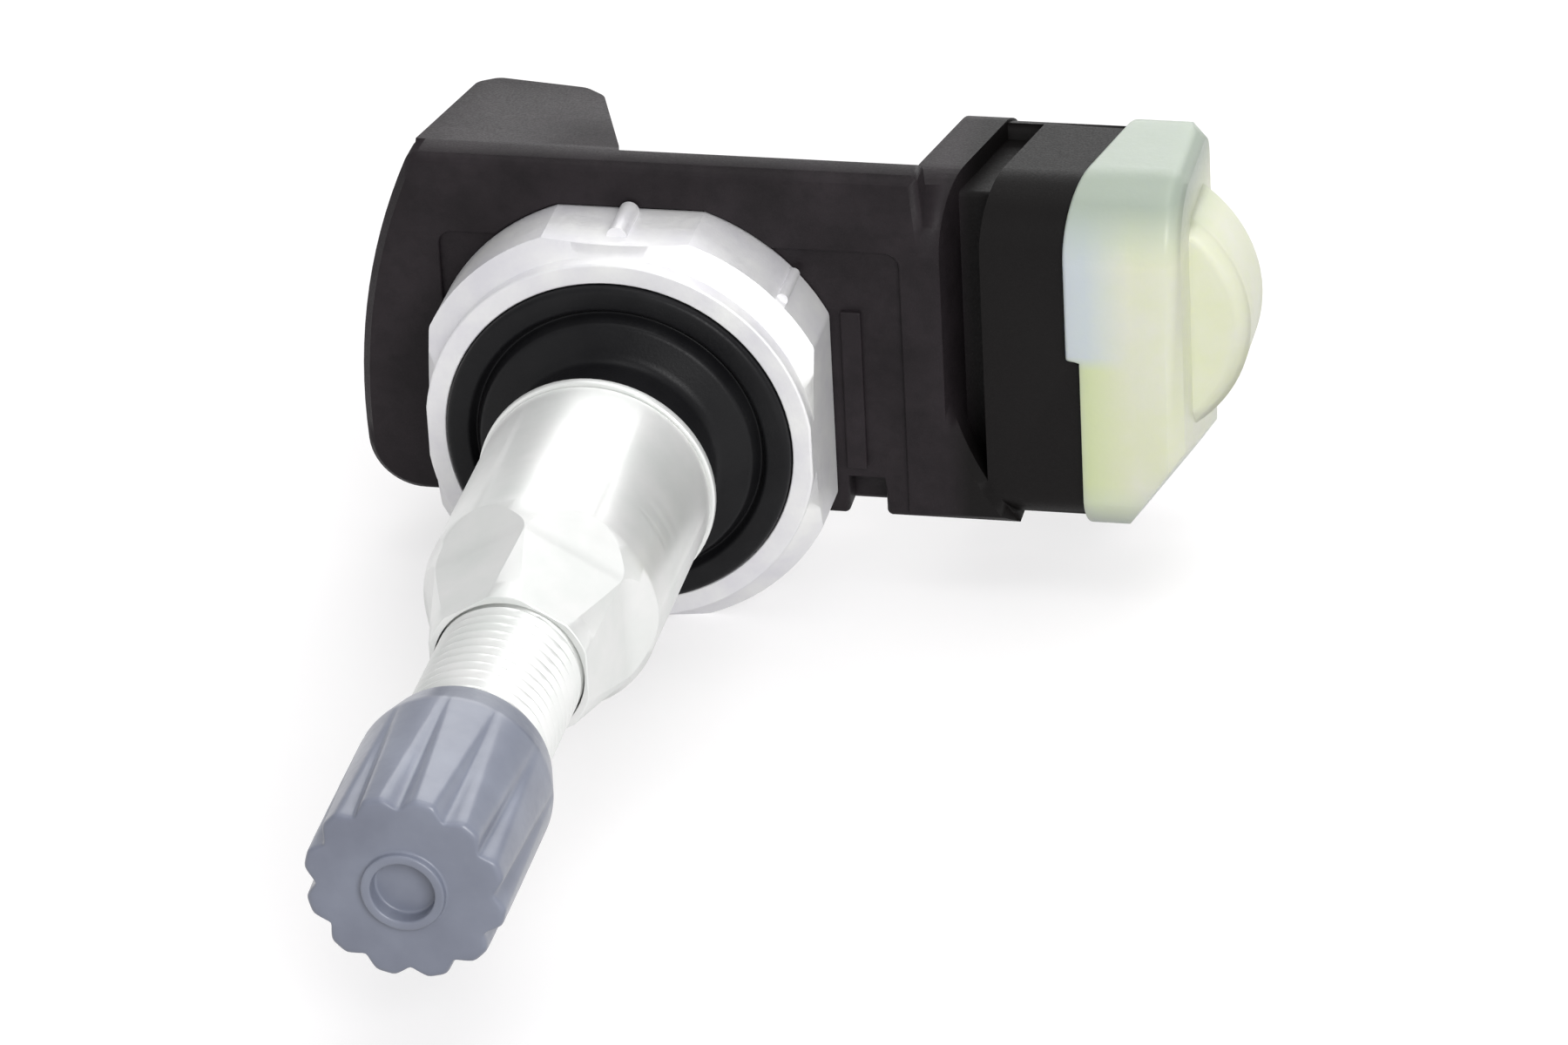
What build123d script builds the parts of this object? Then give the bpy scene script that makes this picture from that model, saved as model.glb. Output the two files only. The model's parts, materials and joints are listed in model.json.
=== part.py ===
from build123d import *
import math
import os

# Tyre pressure sensor with a clamp-in valve, in millimetres.
# The valve points along -Y and its rim seat is at Y = 0, so "ahead" is -Y and "behind" is +Y.
# X runs along the housing towards its end cover, and +Z is up.

# Driving dimensions

# Fits
rubber_fit = 0.05
thread_play = 0.08
seat_gap = 0.05
pin_play = 0.1
socket_fit = 0.1

# Valve stem
thread_d = 7.7
stem_base_d = 8.5
stem_flange_d = 12.0
stem_flange_t = 0.8
stem_tail_d = 6.0
stem_tail_length = 5.2
stem_tip = 43.0
stem_tip_chamfer = 0.6
stem_base_short = 0.4
air_port_d = 1.6

# Rubber grommet
rim_neck_d = 11.2
rim_wall = 4.4
ring_d = 18.8
ring_depth = 3.0
ring_land = 1.3
groove_w = 0.7
groove_depth = 0.6
cone_rise = 0.35
neck_root = 1.0

# Die-cast collar
collar_rim_d = 21.2
collar_base_d = 23.6
collar_flat_top = 11.1
collar_flat_side = 10.5
collar_setback = 0.4
collar_rim_t = 0.9
collar_cone_end = 2.2
pip_r = 0.55
side_pip_r = 0.33
side_pip_angle = 48
pip_inset = 0.5

# Nut and washer
washer_d = 12.8
washer_t = 0.5
washer_play = 0.15
nut_d = 12.4
nut_barrel = 12.4
nut_nose_length = 7.0
nut_nose_d = 8.6
nut_flat_af = 9.9
nut_flat_nose_af = 8.2
nut_flat_run = 1.7
nut_flat_round = 2.2
nut_flat_count = 6

# Valve core
core_recess = 0.7
core_plug_d = 5.2
core_plug_length = 4.2
core_bore_d = 5.4
core_tube_d = 3.5
core_tube_length = 6.5
core_spring_bore_d = 2.5
core_top_wall = 1.4
core_ledge = 0.8
core_ring_h = 1.1
core_ring_d = 5.1
core_slot_w = 1.3
core_slot_depth = 1.0
air_passage_d = 4.5
pin_d = 1.3
pin_proud = 0.35
pin_collar_d = 2.2
pin_collar_t = 0.6
pin_cup_d = 3.4
pin_cup_t = 1.2
pin_seal_t = 0.75
spring_wire_d = 0.28
spring_mean_d = 1.86
spring_turns = 3

# Cap
cap_grip = 9.4
cap_length = 12.6
cap_d = 10.1
cap_mouth_d = 8.9
cap_mouth_round = 2.2
cap_seal_t = 0.9
cap_seal_d = 7.2
cap_flutes = 12
flute_depth = 0.62
flute_run = 10.0
flute_angle = 100
cap_ring_d = 4.2
cap_ring_hole_d = 3.2
cap_ring_h = 0.4
cap_ring_depth = 0.9

# Housing bar
bar_front = 6.0
bar_t = 2.0
bar_top = 13.7
bar_bottom = -6.7
bar_left_top = -12.1
bar_left_mid = -14.4
bar_bow_z = 7.5
bar_left = -15.3
bar_right_top = 15.5
bar_right_lean = 1.0
flare_top = 2.6
flare_reach = 4.9
bar_corner = 3.0
bar_top_corner = 0.9
bar_edge = 0.45
pocket_depth = 0.3
pocket_left = -10.7
pocket_margin = 1.1
pocket_top = 9.2
pocket_corner = 0.8
rib_inset = 3.3
rib_w = 1.1
rib_top = 5.6
rib_bottom = -3.8
notch_w = 2.0
notch_h = 2.3

# Left block, bridge and screw boss behind the bar
block_back = 15.4
block_back_left = 17.8
block_right_top = -0.9
block_right = -3.4
block_left_draft = 10
block_right_draft = 19
block_top_draft = 3
block_edge = 0.9
bridge_back = 12.6
bridge_top = 7.8
bridge_edge = 1.0
boss_d = 11.4
boss_floor = 1.2
screw_d = 4.0
screw_bite = 4.0
screw_end_gap = 0.5
screw_head_d = 7.0
screw_head_h = 2.0
screw_socket_af = 2.5
screw_socket_sides = 6
screw_socket_depth = 1.2
counterbore_depth = 1.0
counterbore_play = 0.3

# Electronics box at the right
mouth_skew = 12.5
ridge_overlap = 1.2
ridge_t = 2.4
ridge_proud = 0.15
channel_w = 2.0
channel_depth = 2.4
channel_top_depth = 1.0
channel_stop = 15.4
box_length = 7.3
box_front = 6.4
box_headroom = 2.45
box_back_top = 17.0
box_back_bottom = 17.6
box_corner = 1.8
box_brow = 3.6
box_wall = 1.5
spigot_length = 1.2

# End cover
lip_proud = 0.4
lip_reach = 0.8
lip_step_z = 3.3
cover_wall = 1.0
cover_length = 5.4
cover_edge = 0.8
cover_slope_top = -2.0
cover_foot_length = 1.9
slope_overrun = 10.0
cover_bulge_wall = 1.1
bulge_edge = 0.9
resin_gap = 0.1

# Coin cell and board
cell_d = 12.5
cell_t = 2.5
cell_inset = 0.8
cell_z = 4.0
cell_front = 11.1
cell_play = 0.35
cell_lid_d = 9.6
cell_lid_step = 0.3
tab_t = 0.2
tab_w = 1.2
tab_length = 3.4
tab_step = 1.0
board_front = 8.5
board_t = 0.8
board_w = 4.6
board_corner = 0.4
board_headroom = 0.9
board_bottom = -4.6
board_gap = 0.2
controller_side = 4.0
controller_h = 3.6
controller_t = 0.9
chip_gap = 0.3
chip_edge = 0.15
chip_inset = 0.5
pressure_chip_side = 3.6
pressure_chip_t = 1.2
pressure_chip_rise = 1.0
pressure_port_d = 0.8
pressure_port_depth = 0.6
crystal_w = 1.8
crystal_h = 3.0
crystal_t = 0.7
crystal_corner = 0.4
capacitor_count = 3
capacitor_pitch = 1.1
capacitor_w = 0.5
capacitor_h = 0.8
capacitor_inset = 0.3
coil_length = 2.9
coil_side = 1.4
coil_core_side = 0.7
coil_winding_side = 1.2
coil_winding_edge = 0.15
coil_end_t = 0.5
coil_inset = 0.3
coil_edge = 0.1
aerial_gap = 0.4
aerial_height = 9.0

# Values that follow from the sizes above
thread_r = thread_d / 2
stem_base_r = stem_base_d / 2
tail_r = stem_tail_d / 2
ring_r = ring_d / 2
nut_r = nut_d / 2
cap_r = cap_d / 2
bar_back = bar_front + bar_t
pocket_floor = bar_front + pocket_depth
collar_back = pocket_floor
port_y = (ring_depth + stem_flange_t + collar_back) / 2
tail_end = collar_back + stem_tail_length
screw_seat = tail_end + boss_floor
boss_back = screw_seat + counterbore_depth
washer_back = rim_wall + seat_gap
nut_back = washer_back + washer_t + seat_gap
nut_shoulder = nut_back + nut_barrel
nut_nose = nut_shoulder + nut_nose_length
core_top = stem_tip - core_recess
plug_foot = core_top - core_plug_length
tube_foot = plug_foot - core_tube_length
spring_floor = tube_foot + core_ledge
cup_top = tube_foot - pin_seal_t - 2 * seat_gap
collar_top = core_top - core_top_wall - 2 * seat_gap
cap_base = stem_tip - cap_grip
cap_tip = cap_base + cap_length
cap_floor = stem_tip + 2 * seat_gap + cap_seal_t + seat_gap
bar_right = bar_right_top + bar_right_lean
flare_x = bar_right_top + flare_reach
pocket_right = bar_right_top - pocket_margin
rib_x = pocket_right - rib_inset
ridge_start = bar_right_top - ridge_overlap
ridge_end = ridge_start + ridge_t
channel_end = ridge_end + channel_w
box_end = ridge_end + box_length
cover_end = box_end + cover_length
cover_slope_foot = box_end + cover_foot_length
cell_x = box_end + cell_inset
behind = 2 * box_back_bottom
cavity_left = channel_end + box_wall + channel_depth * math.tan(math.radians(mouth_skew))
lip_start = box_end - lip_reach
cell_r = cell_d / 2
cell_back = cell_front + cell_t
box_top = cell_z + cell_r + box_headroom
board_back = board_front + board_t
board_left = cavity_left + board_gap
board_top = box_top - box_wall - board_headroom
coil_z = board_top - coil_edge - coil_side / 2
controller_z = coil_z - coil_side / 2 - chip_gap - controller_h
crystal_z = controller_z - chip_gap - crystal_h
pressure_chip_z = board_bottom + pressure_chip_rise
bulge_r = cell_r + cell_play + cover_bulge_wall
bulge_side = tab_t + cell_play + cover_bulge_wall


def turned(*profile):
    """Solid of revolution about the valve axis, from (radius, distance ahead of the seat) points."""
    outline = Polyline(*[(radius, -ahead) for radius, ahead in profile], close=True)
    return revolve(make_face(outline), Axis.Y)


def slab(outline, y_front, y_back):
    """An X-Z outline extruded from one depth to another."""
    return extrude(Plane.XZ.offset(-y_front) * outline, amount=y_front - y_back)


def run(outline, x_left, x_right):
    """A Y-Z outline extruded along the housing."""
    return extrude(Plane.YZ.offset(x_left) * outline, amount=x_right - x_left)


def block(x, y, z):
    """Box between three pairs of limits."""
    size = (x[1] - x[0], y[1] - y[0], z[1] - z[0])
    middle = ((x[0] + x[1]) / 2, (y[0] + y[1]) / 2, (z[0] + z[1]) / 2)
    return Pos(*middle) * Box(*size)


def rod(diameter, y_front, y_back, x=0.0, z=0.0):
    """Cylinder parallel to the valve axis."""
    return slab(Pos(x, z) * Circle(diameter / 2), y_front, y_back)


def around(shape, count):
    """Copies of a shape turned about the valve axis."""
    return [Rot(0, 360 * i / count, 0) * shape for i in range(count)]


def box_outline(grow=0.0, front=box_front, top=box_top):
    """Y-Z section of the electronics box, grown or shrunk evenly, with a round brow and a leaning back."""
    outline = make_face(Polyline(
        (front - grow, top + grow),
        (box_back_top + grow, top + grow),
        (box_back_bottom + grow, bar_bottom - grow),
        (front - grow, bar_bottom - grow),
        close=True,
    ))
    brow = outline.vertices().sort_by_distance((front - grow, top + grow, 0))
    outline = fillet(brow[1:], box_corner + grow)
    brow = outline.vertices().sort_by_distance((front - grow, top + grow, 0))
    return fillet(brow[0], box_brow + grow)


# Valve stem and what clamps it to the rim

def valve_stem():
    body = turned(
        (0, stem_tip),
        (thread_r - stem_tip_chamfer, stem_tip),
        (thread_r, stem_tip - stem_tip_chamfer),
        (thread_r, rim_wall - stem_base_short),
        (stem_base_r, rim_wall - stem_base_short),
        (stem_base_r, -ring_depth),
        (stem_flange_d / 2, -ring_depth),
        (stem_flange_d / 2, -ring_depth - stem_flange_t),
        (tail_r, -ring_depth - stem_flange_t),
        (tail_r, -tail_end),
        (0, -tail_end),
    )
    seat = plug_foot - core_ring_h - seat_gap
    bore = turned(
        (0, stem_tip),
        (core_bore_d / 2, stem_tip),
        (core_bore_d / 2, seat),
        (air_passage_d / 2, seat),
        (air_passage_d / 2, -port_y),
        (0, -port_y),
    )
    port = Pos(0, port_y, -tail_r / 2) * Cylinder(air_port_d / 2, tail_r + air_port_d)
    tapped = rod(screw_d + 2 * thread_play, tail_end - screw_bite - screw_end_gap, tail_end)
    return body - bore - port - tapped


def sealing_grommet():
    bore = stem_base_r + rubber_fit
    land = ring_r - ring_land
    return turned(
        (bore, -ring_depth),
        (ring_r, -ring_depth),
        (ring_r, 0),
        (land, 0),
        (land - groove_w / 2, -groove_depth),
        (land - groove_w, cone_rise),
        (rim_neck_d / 2, neck_root),
        (rim_neck_d / 2, rim_wall),
        (bore, rim_wall),
    )


def stem_collar():
    recess_r = ring_r + rubber_fit
    rim_r = collar_rim_d / 2
    base_r = collar_base_d / 2
    body = turned(
        (recess_r, -collar_setback),
        (rim_r, -collar_setback),
        (rim_r, -collar_setback - collar_rim_t),
        (base_r, -collar_cone_end),
        (base_r, -collar_back),
        (tail_r + rubber_fit, -collar_back),
        (tail_r + rubber_fit, -ring_depth - stem_flange_t),
        (stem_flange_d / 2 + rubber_fit, -ring_depth - stem_flange_t),
        (stem_flange_d / 2 + rubber_fit, -ring_depth),
        (recess_r, -ring_depth),
    )
    flats = block(
        (-collar_flat_side, collar_flat_side),
        (0, collar_back),
        (-collar_flat_top, collar_flat_top),
    )
    pip_y = (collar_cone_end + pip_inset, collar_back - pip_inset)
    pip = rod(2 * pip_r, *pip_y, 0, collar_flat_top)
    side_pip = Rot(0, side_pip_angle, 0) * rod(2 * side_pip_r, *pip_y, 0, base_r)
    port_side = air_port_d / 2
    port = block((-port_side, port_side), (port_y - port_side, collar_back), (-base_r, 0))
    return (body & flats) + pip + side_pip - port


def nut_washer():
    hole = thread_r + washer_play
    return turned(
        (hole, washer_back),
        (washer_d / 2, washer_back),
        (washer_d / 2, washer_back + washer_t),
        (hole, washer_back + washer_t),
    )


def clamp_nut():
    bore = thread_r + thread_play
    body = turned(
        (bore, nut_back),
        (nut_r, nut_back),
        (nut_r, nut_shoulder),
        (nut_nose_d / 2, nut_nose),
        (bore, nut_nose),
    )
    run_end = nut_shoulder + nut_flat_run
    flat = make_face(Polyline(
        (nut_d, -nut_shoulder),
        (nut_r, -nut_shoulder),
        (nut_flat_af / 2, -run_end),
        (nut_flat_nose_af / 2, -nut_nose),
        (nut_d, -nut_nose),
        close=True,
    ))
    root = flat.vertices().sort_by_distance((nut_flat_af / 2, -run_end, 0))[0]
    flat = fillet(root, nut_flat_round)
    cutter = extrude(flat, amount=nut_r, both=True)
    return body - around(cutter, nut_flat_count)


# Valve core

def core_barrel():
    bore = pin_d / 2 + pin_play
    body = turned(
        (bore, core_top),
        (core_plug_d / 2, core_top),
        (core_plug_d / 2, plug_foot),
        (core_tube_d / 2, plug_foot),
        (core_tube_d / 2, tube_foot),
        (bore, tube_foot),
        (bore, spring_floor),
        (core_spring_bore_d / 2, spring_floor),
        (core_spring_bore_d / 2, core_top - core_top_wall),
        (bore, core_top - core_top_wall),
    )
    side = block(
        (core_slot_w, core_plug_d),
        (-core_top, -core_top + core_slot_depth),
        (-core_plug_d, core_plug_d),
    )
    return body - around(side, 2)


def core_ring():
    return turned(
        (core_tube_d / 2 + rubber_fit, plug_foot - seat_gap),
        (core_ring_d / 2, plug_foot - seat_gap),
        (core_ring_d / 2, plug_foot - core_ring_h),
        (core_tube_d / 2 + rubber_fit, plug_foot - core_ring_h),
    )


def core_pin():
    pin_r = pin_d / 2
    return turned(
        (0, core_top + pin_proud),
        (pin_r, core_top + pin_proud),
        (pin_r, collar_top),
        (pin_collar_d / 2, collar_top),
        (pin_collar_d / 2, collar_top - pin_collar_t),
        (pin_r, collar_top - pin_collar_t),
        (pin_r, cup_top),
        (pin_cup_d / 2, cup_top),
        (pin_cup_d / 2, cup_top - pin_cup_t),
        (0, cup_top - pin_cup_t),
    )


def pin_seal():
    return turned(
        (pin_d / 2 + rubber_fit, cup_top + seat_gap),
        (pin_cup_d / 2, cup_top + seat_gap),
        (pin_cup_d / 2, cup_top + pin_seal_t),
        (pin_d / 2 + rubber_fit, cup_top + pin_seal_t),
    )


def core_spring():
    margin = spring_wire_d / 2 + seat_gap
    low = spring_floor + margin
    high = collar_top - pin_collar_t - margin
    coil = Helix(
        pitch=(high - low) / spring_turns,
        height=high - low,
        radius=spring_mean_d / 2,
        center=(0, -low, 0),
        direction=(0, -1, 0),
    )
    wire = Plane(origin=coil @ 0, z_dir=coil % 0) * Rectangle(spring_wire_d, spring_wire_d)
    return sweep(wire, path=coil)


# Cap

def valve_cap():
    bore = thread_r + thread_play
    face = cap_tip - cap_ring_h
    body = turned(
        (bore, cap_base),
        (cap_mouth_d / 2, cap_base),
        (cap_r, cap_base + cap_mouth_round),
        (cap_r, face),
        (cap_ring_d / 2, face),
        (cap_ring_d / 2, cap_tip),
        (cap_ring_hole_d / 2, cap_tip),
        (cap_ring_hole_d / 2, cap_tip - cap_ring_depth),
        (0, cap_tip - cap_ring_depth),
        (0, cap_floor),
        (bore, cap_floor),
    )
    lean = math.degrees(math.atan2(flute_depth, flute_run))
    half = cap_r * math.tan(math.radians(flute_angle / 2))
    groove = make_face(Polyline((0, 0), (cap_r, half), (cap_r, -half), close=True))
    flute = Pos(cap_r - flute_depth, -face, 0) * Rot(0, 0, -lean) * slab(groove, -cap_ring_h, 2 * flute_run)
    return body - around(flute, cap_flutes)


def cap_seal():
    back = stem_tip + 2 * seat_gap
    return turned(
        (0, back),
        (cap_seal_d / 2, back),
        (cap_seal_d / 2, back + cap_seal_t),
        (0, back + cap_seal_t),
    )


# Housing

def bar_plate():
    """Front plate of the housing, with its bowed left end and the flare at its lower right."""
    top_left = (bar_left_top, bar_top)
    top_right = (bar_right_top, bar_top)
    flare_start = (bar_right, flare_top)
    flare_end = (flare_x, bar_bottom)
    foot_left = (bar_left, bar_bottom)
    edges = [
        Line(top_left, top_right),
        Line(top_right, flare_start),
        TangentArc(flare_start, flare_end, tangent=(bar_right - bar_right_top, flare_top - bar_top)),
        Line(flare_end, foot_left),
        ThreePointArc(foot_left, (bar_left_mid, bar_bow_z), top_left),
    ]
    outline = make_face(edges)
    corners = outline.vertices()
    outline = fillet(corners.sort_by_distance((*foot_left, 0))[0], bar_corner)
    outline = fillet(outline.vertices().sort_by_distance((*top_left, 0))[0], bar_top_corner)
    plate = slab(outline, bar_front, bar_back)
    return chamfer(plate.faces().sort_by(Axis.Y)[0].edges(), bar_edge)


def left_block():
    """Block behind the left half of the bar, drafted towards its back, which is deeper at the left."""
    outline = make_face(Polyline(
        (bar_left_top, bar_top),
        (block_right_top, bar_top),
        (block_right, bar_bottom),
        (bar_left + bar_corner, bar_bottom),
        (bar_left, bar_bottom + bar_corner),
        close=True,
    ))
    body = slab(outline, bar_back, block_back_left)
    parting = Plane.XZ.offset(-bar_back)
    sides = body.faces().sort_by(Axis.X)
    body = draft([sides[0], sides[1]], parting, -block_left_draft)
    body = draft(body.faces().sort_by(Axis.X)[-1], parting, -block_right_draft)
    body = draft(body.faces().sort_by(Axis.Z)[-1], parting, -block_top_draft)
    plan = make_face(Polyline(
        (bar_left, 0),
        (bar_left, block_back_left),
        (block_right_top, block_back),
        (block_right_top, 0),
        close=True,
    ))
    body = body & Pos(0, 0, bar_bottom) * extrude(plan, amount=bar_top - bar_bottom)
    upright = body.faces().sort_by(Axis.Y)[-1].edges().sort_by(SortBy.LENGTH)[-2:]
    return chamfer(upright, block_edge)


def bridge():
    """Low back of the bar behind the collar, with the round boss for the retaining screw."""
    body = block((block_right, ridge_end), (bar_back, bridge_back), (bar_bottom, bridge_top))
    body = chamfer(body.faces().sort_by(Axis.Y)[-1].edges(), bridge_edge)
    boss = rod(boss_d, bar_back, boss_back)
    return body + boss


def right_of(x_front):
    """Everything to the right of the skewed plane that meets the box front at a given X."""
    lean = math.tan(math.radians(mouth_skew))
    near = x_front - box_front * lean
    outline = make_face(Polyline(
        (near, 0),
        (near + behind * lean, behind),
        (near + 2 * behind, behind),
        (near + 2 * behind, 0),
        close=True,
    ))
    return Pos(0, 0, -behind) * extrude(outline, amount=2 * behind)


def electronics_box():
    """Box with a ridge at the bar, a blind channel round its front and top, and a spigot for the cover."""
    section = box_outline(ridge_proud, front=bar_front + ridge_proud)
    ridge = run(section, ridge_start, cover_end) & right_of(ridge_start) - right_of(ridge_end)
    whole = run(box_outline(), ridge_start, cover_end) & right_of(ridge_start)
    body = whole - right_of(lip_start)
    low = block((ridge_start, cover_end), (0, behind), (bar_bottom, lip_step_z - socket_fit))
    step = (whole & low) - right_of(box_end)
    core = make_face(Polyline(
        (box_front + channel_depth, bar_bottom),
        (box_front + channel_depth, box_top - channel_top_depth),
        (channel_stop, box_top - channel_top_depth),
        (channel_stop, bar_top),
        (behind, bar_top),
        (behind, bar_bottom),
        close=True,
    ))
    channel = right_of(ridge_end) - right_of(channel_end) - run(core, 0, cover_end)
    spigot = cover_form(cover_wall + socket_fit) - right_of(box_end + spigot_length)
    return ridge + (body + step + spigot - channel)


def box_cavity():
    hollow = run(box_outline(-box_wall), cavity_left, cover_end)
    pocket_left_x = cell_x - cell_r - cell_play
    chord = math.sqrt(cell_r ** 2 - (cell_x - cavity_left) ** 2) + cell_play
    pocket = block(
        (pocket_left_x, cavity_left),
        (cell_front - tab_t - cell_play / 2, cell_back + tab_t + cell_play / 2),
        (cell_z - chord, cell_z + chord),
    )
    return hollow + pocket


def sensor_housing():
    shell = bar_plate() + left_block() + bridge() + electronics_box()
    pocket = make_face(Polyline(
        (pocket_left, bar_bottom),
        (pocket_left, pocket_top),
        (pocket_right, pocket_top),
        (pocket_right, bar_bottom),
        close=True,
    ))
    pocket = fillet(pocket.vertices().sort_by(Axis.Y)[-2:], pocket_corner)
    rib = block((rib_x, rib_x + rib_w), (bar_front, pocket_floor), (rib_bottom, rib_top))
    notch = block((rib_x, rib_x + notch_w), (bar_front, bar_back), (bar_bottom, bar_bottom + notch_h))
    tail_hole = rod(stem_tail_d + 2 * rubber_fit, bar_front, tail_end + seat_gap)
    screw_hole = rod(screw_d + 2 * counterbore_play, bar_front, boss_back)
    counterbore = rod(screw_head_d + 2 * counterbore_play, screw_seat, boss_back)
    seat = rod(collar_base_d + 2 * socket_fit, bar_front, pocket_floor) & block(
        (-collar_flat_side - socket_fit, collar_flat_side + socket_fit),
        (bar_front, pocket_floor),
        (-collar_flat_top - socket_fit, collar_flat_top + socket_fit),
    )
    shell = shell - (slab(pocket, bar_front, pocket_floor) + seat - rib)
    return shell - notch - tail_hole - screw_hole - counterbore - box_cavity()


def retaining_screw():
    head = rod(screw_head_d, screw_seat, screw_seat + screw_head_h)
    shank = rod(screw_d, tail_end - screw_bite, screw_seat)
    socket = slab(
        RegularPolygon(screw_socket_af / 2, screw_socket_sides, major_radius=False),
        screw_seat + screw_head_h - screw_socket_depth,
        screw_seat + screw_head_h,
    )
    return (head + shank) - socket


# End cover and resin

def cover_slope(inset):
    """Wedge that slopes the cover's lower right corner off, along the skewed mouth."""
    foot = Vector(cover_slope_foot, bar_bottom - lip_proud)
    head = Vector(cover_end, cover_slope_top)
    along = (head - foot).normalized()
    inward = Vector(-along.Y, along.X) * inset
    start = foot - along * slope_overrun + inward
    stop = head + along * slope_overrun + inward
    wedge = make_face(Polyline(
        (start.X, start.Y),
        (stop.X, stop.Y),
        (stop.X, start.Y),
        close=True,
    ))
    lean = math.tan(math.radians(mouth_skew))
    near = Plane.XZ * Pos(-box_front * lean, 0) * wedge
    return extrude(near, amount=behind, dir=(lean, 1, 0))


def cover_form(inset):
    """Form of the cover, shrunk by an inset: the box section with its sloped corner and the cell bulge."""
    last = cover_end - inset
    body = run(box_outline(lip_proud - inset), box_end - 2 * lip_reach, last)
    bulge = rod(
        2 * (bulge_r - inset),
        cell_front - bulge_side + inset,
        cell_back + bulge_side - inset,
        cell_x,
        cell_z,
    )
    if inset == 0:
        body = chamfer(body.faces().sort_by(Axis.X)[-1].edges(), cover_edge)
        bulge = chamfer(bulge.edges(), bulge_edge)
    bulge = bulge & block((last - 2 * cover_wall, last + bulge_r), (0, behind), (bar_bottom, bar_top))
    return body - cover_slope(inset) + bulge


def end_cover():
    shell = cover_form(0) - cover_form(cover_wall)
    lower = block((0, cover_end), (0, behind), (bar_bottom - 2 * lip_proud, lip_step_z))
    lip = right_of(lip_start + seat_gap) - (lower - right_of(box_end + seat_gap))
    return shell & lip


def potting_resin():
    """Resin that fills the cover beyond the spigot, moulded round the cell."""
    fill = cover_form(cover_wall + resin_gap) & right_of(box_end + spigot_length + resin_gap)
    cell_room = rod(
        cell_d + 2 * cell_play,
        cell_front - tab_t - cell_play,
        cell_back + tab_t + cell_play,
        cell_x,
        cell_z,
    )
    return fill - cell_room


# Cell, board and what is on it

def battery_cell():
    can = rod(cell_d, cell_front + cell_lid_step, cell_back, cell_x, cell_z)
    lid = rod(cell_lid_d, cell_front, cell_front + cell_lid_step, cell_x, cell_z)
    return can + lid


def battery_tab_positive():
    """Plate on the can with a leg to the board, which passes over the cell's edge where it stands."""
    x = (board_left, board_left + tab_w)
    leg_z = cell_z + math.sqrt(cell_r ** 2 - (cell_x - x[1]) ** 2) + 2 * tab_t
    plate = block((x[0], x[0] + tab_length), (cell_back, cell_back + tab_t), (cell_z, leg_z))
    leg = block(x, (board_back, cell_back + tab_t), (leg_z - tab_t, leg_z))
    return plate + leg


def battery_tab_negative():
    """Plate on the cell's lid with a leg straight to the board."""
    x = (board_left + tab_step, board_left + tab_step + tab_w)
    foot = cell_z - tab_length / 2
    plate = block((x[0], x[0] + tab_length), (cell_front - tab_t, cell_front), (foot, foot + tab_length))
    leg = block(x, (board_back, cell_front), (foot, foot + tab_t))
    return plate + leg


def circuit_board():
    board = block((board_left, board_left + board_w), (board_front, board_back), (board_bottom, board_top))
    return chamfer(board.edges().filter_by(Axis.Y), board_corner)


def on_board(x, z, width, height, thick):
    """Box soldered to the back of the board, placed from the board's left edge."""
    left = board_left + x
    return block((left, left + width), (board_back, board_back + thick), (z, z + height))


def controller_chip():
    body = on_board(chip_inset, controller_z, controller_side, controller_h, controller_t)
    return chamfer(body.faces().sort_by(Axis.Y)[-1].edges(), chip_edge)


def pressure_chip():
    side = pressure_chip_side
    body = on_board(chip_inset, pressure_chip_z, side, side, pressure_chip_t)
    body = chamfer(body.faces().sort_by(Axis.Y)[-1].edges(), chip_edge)
    top = board_back + pressure_chip_t
    middle = (board_left + chip_inset + side / 2, pressure_chip_z + side / 2)
    return body - rod(pressure_port_d, top - pressure_port_depth, top, *middle)


def crystal_can():
    inset = board_w - crystal_w - board_gap
    body = on_board(inset, crystal_z, crystal_w, crystal_h, crystal_t)
    return chamfer(body.edges().filter_by(Axis.Y), crystal_corner)


def chip_capacitors():
    rows = [crystal_z + capacitor_pitch * i for i in range(capacitor_count)]
    return Compound([on_board(capacitor_inset, z, capacitor_w, capacitor_h, capacitor_w) for z in rows])


def coil_part(start, length, side):
    """Square bar of the wake-up coil, centred on the coil's own axis along X."""
    left = board_left + board_w - coil_length - coil_inset + start
    middle_y = board_back + coil_side / 2
    return block(
        (left, left + length),
        (middle_y - side / 2, middle_y + side / 2),
        (coil_z - side / 2, coil_z + side / 2),
    )


def lf_coil_core():
    first = coil_part(0, coil_end_t, coil_side)
    last = coil_part(coil_length - coil_end_t, coil_end_t, coil_side)
    return first + coil_part(0, coil_length, coil_core_side) + last


def lf_coil_winding():
    length = coil_length - 2 * coil_end_t - 2 * seat_gap
    outer = coil_part(coil_end_t + seat_gap, length, coil_winding_side)
    outer = chamfer(outer.edges().filter_by(Axis.X), coil_winding_edge)
    return outer - coil_part(coil_end_t, length + 2 * seat_gap, coil_core_side + 2 * seat_gap)


def rf_antenna():
    """Bent strip: a foot from the board under the cell, then up behind it."""
    x = (board_left + board_gap, board_left + board_gap + tab_w)
    foot = board_bottom + 2 * board_gap
    back = cell_back + tab_t + aerial_gap
    lower = block(x, (board_back, back + tab_t), (foot, foot + tab_t))
    upright = block(x, (back, back + tab_t), (foot, foot + aerial_height))
    return lower + upright


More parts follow.
